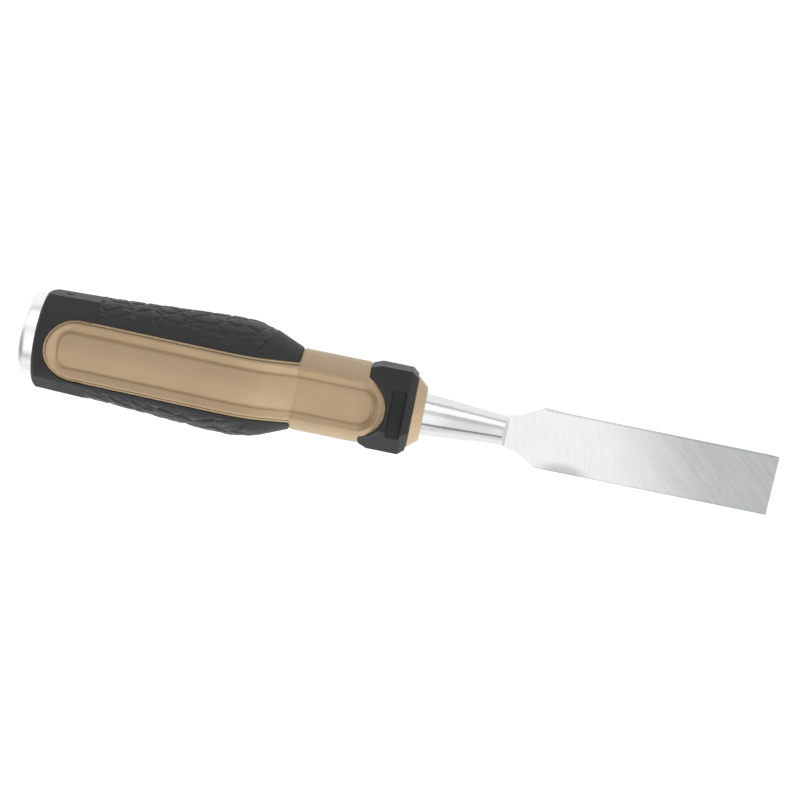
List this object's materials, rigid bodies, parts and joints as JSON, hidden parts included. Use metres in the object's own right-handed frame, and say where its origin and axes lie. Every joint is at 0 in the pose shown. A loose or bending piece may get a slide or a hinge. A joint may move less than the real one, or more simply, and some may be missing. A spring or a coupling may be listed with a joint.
{
  "type": "bench chisel",
  "caption": "Bench chisel with a wide flat blade, a flared shoulder, a round tapered neck and a two-colour handle with soft grips, recessed side panels and a steel strike cap.",
  "frame": {"origin": "centre of the flat strike face at the butt of the handle", "axes": "+X along the tool's axis from the strike face to the cutting edge, +Z the outward normal of the blade's flat back and of the handle's front panel"},
  "size_m": [0.2521, 0.039, 0.0374],
  "materials": {
    "blade_steel": "ground bright steel with fine grinding lines",
    "cap_steel": "bright plated steel",
    "core_plastic": "satin tan moulded plastic",
    "inlay_plastic": "satin tan moulded plastic",
    "grip_rubber": "matte black soft grip",
    "pad_rubber": "embossed black soft grip",
    "collar_rubber": "matte black soft grip"
  },
  "bodies": {
    "root": {"blade": "blade_steel", "strike_cap": "cap_steel", "handle_core": "core_plastic", "front_inlay": "inlay_plastic", "back_inlay": "inlay_plastic", "grip_sleeve": "grip_rubber", "left_grip_pad": "pad_rubber", "right_grip_pad": "pad_rubber", "front_collar": "collar_rubber"}
  },
  "joints": []
}
